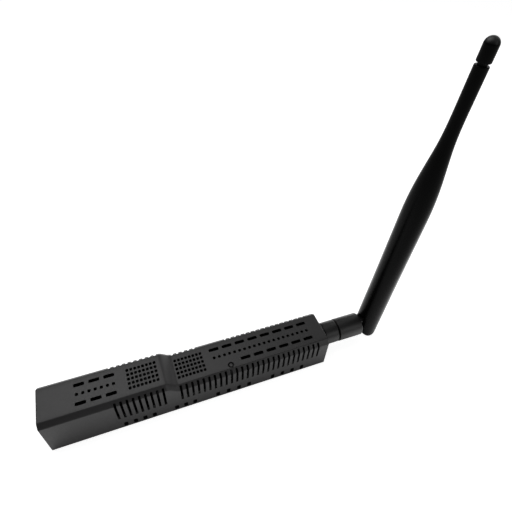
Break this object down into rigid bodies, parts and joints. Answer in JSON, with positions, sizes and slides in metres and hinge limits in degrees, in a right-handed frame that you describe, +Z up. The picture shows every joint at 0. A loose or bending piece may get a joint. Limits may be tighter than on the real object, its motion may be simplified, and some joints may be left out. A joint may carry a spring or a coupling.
{
  "type": "smart home usb radio stick",
  "caption": "Slim dark grey vented radio stick with an Ethernet and a USB-C port at one end, a small push button and a black folding screw-on antenna.",
  "frame": {"origin": "centre of the case's flat underside", "axes": "+Z up out of the case's top, +X along the case towards the antenna, +Y towards the side away from the button"},
  "size_m": [0.1844, 0.0212, 0.1637],
  "materials": {
    "case_plastic": "fine moulded texture",
    "antenna_plastic": "satin",
    "screw_steel": "zinc plated",
    "board_laminate": "black solder mask",
    "connector_plastic": "moulded",
    "nickel_sheet": "nickel plated",
    "tin_cans": "oxidised tin plate",
    "gold_plate": "gold plated",
    "light_guide": "milky",
    "chip_plastic": "moulded",
    "ferrite": "pressed and sintered",
    "winding_tape": "black polyester film",
    "can_sleeve": "shrunk sleeve",
    "white_insulator": "turned",
    "nut_brass": "bare",
    "coax_jacket": "extruded",
    "copper_wire": "drawn"
  },
  "bodies": {
    "case": {"upper_shell": "case_plastic", "bottom_plate": "case_plastic", "case_screws": "screw_steel", "main_board": "board_laminate", "ethernet_housing": "connector_plastic", "ethernet_shield": "nickel_sheet", "ethernet_contacts": "gold_plate", "ethernet_lamps": "light_guide", "usb_shell": "nickel_sheet", "usb_tongue": "connector_plastic", "lan_magnetics": "chip_plastic", "transformer_core": "ferrite", "transformer_winding": "winding_tape", "insulation_screen": "winding_tape", "supply_capacitors": "can_sleeve", "supply_inductor": "ferrite", "processor_module": "board_laminate", "processor_can": "tin_cans", "radio_module": "board_laminate", "radio_can": "tin_cans", "board_chips": "chip_plastic", "crystals": "tin_cans", "status_lights": "light_guide", "switch_body": "chip_plastic", "antenna_jack": "gold_plate", "jack_insulator": "white_insulator", "jack_contact": "gold_plate", "coupling_nut": "nut_brass", "antenna_collar": "antenna_plastic"},
    "button": {"button_cap": "case_plastic", "switch_plunger": "connector_plastic"},
    "swivel": {"swivel_base": "antenna_plastic", "plug_ferrule": "nut_brass", "plug_insulator": "white_insulator", "plug_pin": "gold_plate", "base_coax": "coax_jacket"},
    "arm": {"antenna_arm": "antenna_plastic", "hinge_studs": "screw_steel", "arm_coax": "coax_jacket", "dipole_sleeve": "nut_brass", "radiator_wire": "copper_wire", "antenna_tip": "antenna_plastic"}
  },
  "joints": [
    {"name": "button_press", "type": "slide", "parent": "case", "child": "button", "axis": [0, 0, -1], "range_m": [0, 0.00035], "stiffness_N_per_m": 3000, "springref_m": -0.0002},
    {"name": "antenna_swivel", "type": "hinge", "parent": "case", "child": "swivel", "pos_m": [0.0812, 0, 0.0113], "axis": [1, 0, 0], "continuous": true},
    {"name": "antenna_fold", "type": "hinge", "parent": "swivel", "child": "arm", "pos_m": [0.10222, 0, 0.0113], "axis": [0, 1, 0], "range_deg": [-3.2, 86.8]}
  ]
}
